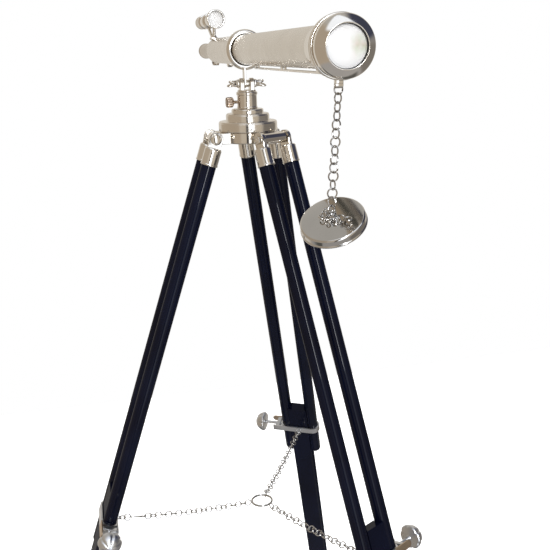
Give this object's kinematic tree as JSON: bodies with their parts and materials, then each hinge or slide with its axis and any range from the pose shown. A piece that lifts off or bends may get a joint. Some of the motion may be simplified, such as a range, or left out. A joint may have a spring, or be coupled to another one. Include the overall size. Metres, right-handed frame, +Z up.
{
  "type": "floor tripod telescope",
  "caption": "Nickel-plated refracting telescope with finder and hanging dust cap, on a black wooden floor tripod with telescoping legs and a chain spreader.",
  "frame": {"origin": "on the floor, under the middle of the whole object's box", "axes": "+Z up, the objective looks along -Y, one leg points along -X"},
  "size_m": [0.6696, 0.8094, 1.2999],
  "materials": {
    "polished_nickel": "polished nickel plate",
    "satin_nickel": "satin nickel plate",
    "black_lacquer": "gloss black lacquer",
    "grey_metal": "satin grey metal",
    "clear_glass": "coated optical glass",
    "black_rubber": "matte"
  },
  "bodies": {
    "root": {"stepped_base": "polished_nickel", "spider": "polished_nickel", "socket": "polished_nickel", "hinge_bolt_1": "polished_nickel", "hinge_bolt_2": "polished_nickel", "hinge_bolt_3": "polished_nickel"},
    "yoke": {"yoke": "polished_nickel", "altitude_bolt": "polished_nickel"},
    "tube": {"main_barrel": "satin_nickel", "bell_flange": "polished_nickel", "objective_ring": "polished_nickel", "objective_lens": "clear_glass", "cradle_ring": "polished_nickel", "saddle_rail": "polished_nickel", "rear_collar": "polished_nickel", "focuser_housing": "satin_nickel", "finder_tube": "polished_nickel", "finder_lens": "clear_glass", "finder_bracket_front": "polished_nickel", "finder_bracket_rear": "polished_nickel"},
    "wing_left": {"wing_left": "polished_nickel"},
    "wing_right": {"wing_right": "polished_nickel"},
    "azimuth_knob": {"azimuth_lock_knob": "polished_nickel"},
    "focus_tube": {"drawtube": "polished_nickel", "focus_rack": "grey_metal", "eyepiece": "polished_nickel", "eye_lens": "clear_glass"},
    "focus_pinion": {"focus_shaft": "grey_metal", "focus_knob": "polished_nickel"},
    "finder_eye": {"finder_eyepiece": "polished_nickel"},
    "cap_chain": {"cap_chain": "polished_nickel"},
    "dust_cap": {"dust_cap": "satin_nickel"},
    "leg_1": {"rod_1a": "black_lacquer", "rod_1b": "black_lacquer", "ferrule_1a": "polished_nickel", "ferrule_1b": "polished_nickel", "clamp_band_1": "grey_metal"},
    "leg_2": {"rod_2a": "black_lacquer", "rod_2b": "black_lacquer", "ferrule_2a": "polished_nickel", "ferrule_2b": "polished_nickel", "clamp_band_2": "grey_metal"},
    "leg_3": {"rod_3a": "black_lacquer", "rod_3b": "black_lacquer", "ferrule_3a": "polished_nickel", "ferrule_3b": "polished_nickel", "clamp_band_3": "grey_metal"},
    "lower_leg_1": {"lower_leg_1": "black_lacquer", "foot_tip_1": "black_rubber"},
    "lower_leg_2": {"lower_leg_2": "black_lacquer", "foot_tip_2": "black_rubber"},
    "lower_leg_3": {"lower_leg_3": "black_lacquer", "foot_tip_3": "black_rubber"},
    "clamp_screw_1": {"clamp_screw_1": "grey_metal"},
    "clamp_screw_2": {"clamp_screw_2": "grey_metal"},
    "clamp_screw_3": {"clamp_screw_3": "grey_metal"},
    "spreader_chain_1": {"spreader_chain_1": "polished_nickel", "spreader_ring": "polished_nickel"},
    "spreader_chain_2": {"spreader_chain_2": "polished_nickel"},
    "spreader_chain_3": {"spreader_chain_3": "polished_nickel"}
  },
  "joints": [
    {"name": "azimuth_turn", "type": "hinge", "parent": "root", "child": "yoke", "pos_m": [0.10501, 0.02237, 1.19688], "axis": [0, 0, 1], "continuous": true},
    {"name": "altitude_tilt", "type": "hinge", "parent": "yoke", "child": "tube", "pos_m": [0.10501, 0.02237, 1.19688], "axis": [-1, 0, 0], "range_deg": [-45, 60]},
    {"name": "wing_left_turn", "type": "hinge", "parent": "yoke", "child": "wing_left", "pos_m": [0.09101, 0.02237, 1.19688], "axis": [-1, 0, 0], "range_deg": [0, 540]},
    {"name": "wing_right_turn", "type": "hinge", "parent": "yoke", "child": "wing_right", "pos_m": [0.11901, 0.02237, 1.19688], "axis": [1, 0, 0], "range_deg": [0, 540]},
    {"name": "azimuth_knob_turn", "type": "hinge", "parent": "root", "child": "azimuth_knob", "pos_m": [0.08501, 0.02237, 1.17318], "axis": [-1, 0, 0], "range_deg": [0, 720]},
    {"name": "focus_slide", "type": "slide", "parent": "tube", "child": "focus_tube", "axis": [0, 1, 0], "range_m": [0, 0.055]},
    {"name": "focus_turn", "type": "hinge", "parent": "tube", "child": "focus_pinion", "pos_m": [0.10501, 0.27237, 1.22328], "axis": [-1, 0, 0], "range_deg": [0, 788]},
    {"name": "finder_focus", "type": "slide", "parent": "tube", "child": "finder_eye", "axis": [0, 1, 0], "range_m": [0, 0.008]},
    {"name": "cap_chain_swing", "type": "hinge", "parent": "tube", "child": "cap_chain", "pos_m": [0.10501, -0.37939, 1.20888], "axis": [1, 0, 0], "range_deg": [-70, 70]},
    {"name": "cap_swing", "type": "hinge", "parent": "cap_chain", "child": "dust_cap", "pos_m": [0.09726, -0.37939, 1.09815], "axis": [0.9336, 0, 0.3584], "range_deg": [-90, 40]},
    {"name": "leg_1_fold", "type": "hinge", "parent": "root", "child": "leg_1", "pos_m": [0.12901, 0.06394, 1.12718], "axis": [-0.866, 0.5, 0], "range_deg": [0, 18.7]},
    {"name": "leg_2_fold", "type": "hinge", "parent": "root", "child": "leg_2", "pos_m": [0.05701, 0.02237, 1.12718], "axis": [0, -1, 0], "range_deg": [0, 18.7]},
    {"name": "leg_3_fold", "type": "hinge", "parent": "root", "child": "leg_3", "pos_m": [0.12901, -0.0192, 1.12718], "axis": [0.866, 0.5, 0], "range_deg": [0, 18.7]},
    {"name": "leg_1_length", "type": "slide", "parent": "leg_1", "child": "lower_leg_1", "axis": [-0.1603, -0.2777, 0.9472], "range_m": [-0.03, 0.48]},
    {"name": "leg_2_length", "type": "slide", "parent": "leg_2", "child": "lower_leg_2", "axis": [0.3206, 0, 0.9472], "range_m": [-0.03, 0.48]},
    {"name": "leg_3_length", "type": "slide", "parent": "leg_3", "child": "lower_leg_3", "axis": [-0.1603, 0.2777, 0.9472], "range_m": [-0.03, 0.48]},
    {"name": "clamp_1_turn", "type": "hinge", "parent": "leg_1", "child": "clamp_screw_1", "pos_m": [0.15655, 0.26165, 0.58064], "axis": [-0.866, 0.5, 0], "range_deg": [0, 540]},
    {"name": "clamp_2_turn", "type": "hinge", "parent": "leg_2", "child": "clamp_screw_2", "pos_m": [-0.12799, -0.05263, 0.58064], "axis": [0, -1, 0], "range_deg": [0, 540]},
    {"name": "clamp_3_turn", "type": "hinge", "parent": "leg_3", "child": "clamp_screw_3", "pos_m": [0.28646, -0.14191, 0.58064], "axis": [0.866, 0.5, 0], "range_deg": [0, 540]},
    {"name": "spreader_1_swing", "type": "hinge", "parent": "leg_1", "child": "spreader_chain_1", "pos_m": [0.21265, 0.20881, 0.57464], "axis": [0.866, -0.5, 0], "range_deg": [0, 103.5]},
    {"name": "spreader_2_swing", "type": "hinge", "parent": "leg_2", "child": "spreader_chain_2", "pos_m": [-0.11027, 0.02237, 0.57464], "axis": [0, 1, 0], "range_deg": [0, 103.5]},
    {"name": "spreader_3_swing", "type": "hinge", "parent": "leg_3", "child": "spreader_chain_3", "pos_m": [0.21265, -0.16407, 0.57464], "axis": [-0.866, -0.5, 0], "range_deg": [0, 103.5]}
  ],
  "couplings": [
    {"joint": "focus_turn", "follows": "focus_slide", "rad_per_m": 250},
    {"joint": "spreader_1_swing", "follows": "leg_1_fold", "ratio": 5.52},
    {"joint": "spreader_2_swing", "follows": "leg_2_fold", "ratio": 5.52},
    {"joint": "spreader_3_swing", "follows": "leg_3_fold", "ratio": 5.52}
  ]
}
